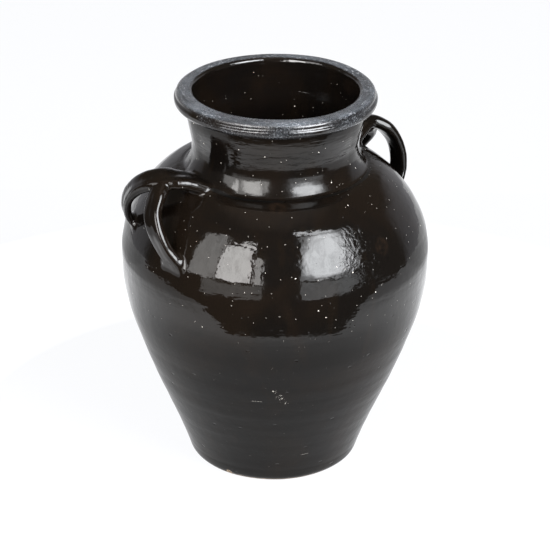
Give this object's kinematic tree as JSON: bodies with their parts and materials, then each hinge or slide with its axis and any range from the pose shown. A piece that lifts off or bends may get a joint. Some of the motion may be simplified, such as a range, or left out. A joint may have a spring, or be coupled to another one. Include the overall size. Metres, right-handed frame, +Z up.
{
  "type": "clay pot",
  "caption": "Wide-shouldered glazed clay pot with a small flat foot, a short neck with a rolled lip, and forked strap handles on the shoulder.",
  "frame": {"origin": "centre of the pot's underside, on the surface it stands on", "axes": "+Z up along the pot's axis, -Y to the front, +X to the right; both handles sit a little behind the X axis"},
  "size_m": [0.2729, 0.266, 0.34],
  "materials": {
    "foot_glaze": "gloss",
    "body_glaze": "gloss",
    "lip_glaze": "satin",
    "handle_glaze": "gloss"
  },
  "bodies": {
    "root": {"base_slab": "foot_glaze", "lower_wall": "body_glaze", "shoulder_wall": "body_glaze", "neck_collar": "body_glaze", "rolled_lip": "lip_glaze", "handle_left_main_strap": "handle_glaze", "handle_left_side_strap": "handle_glaze", "handle_right_main_strap": "handle_glaze", "handle_right_side_strap": "handle_glaze"}
  },
  "joints": []
}
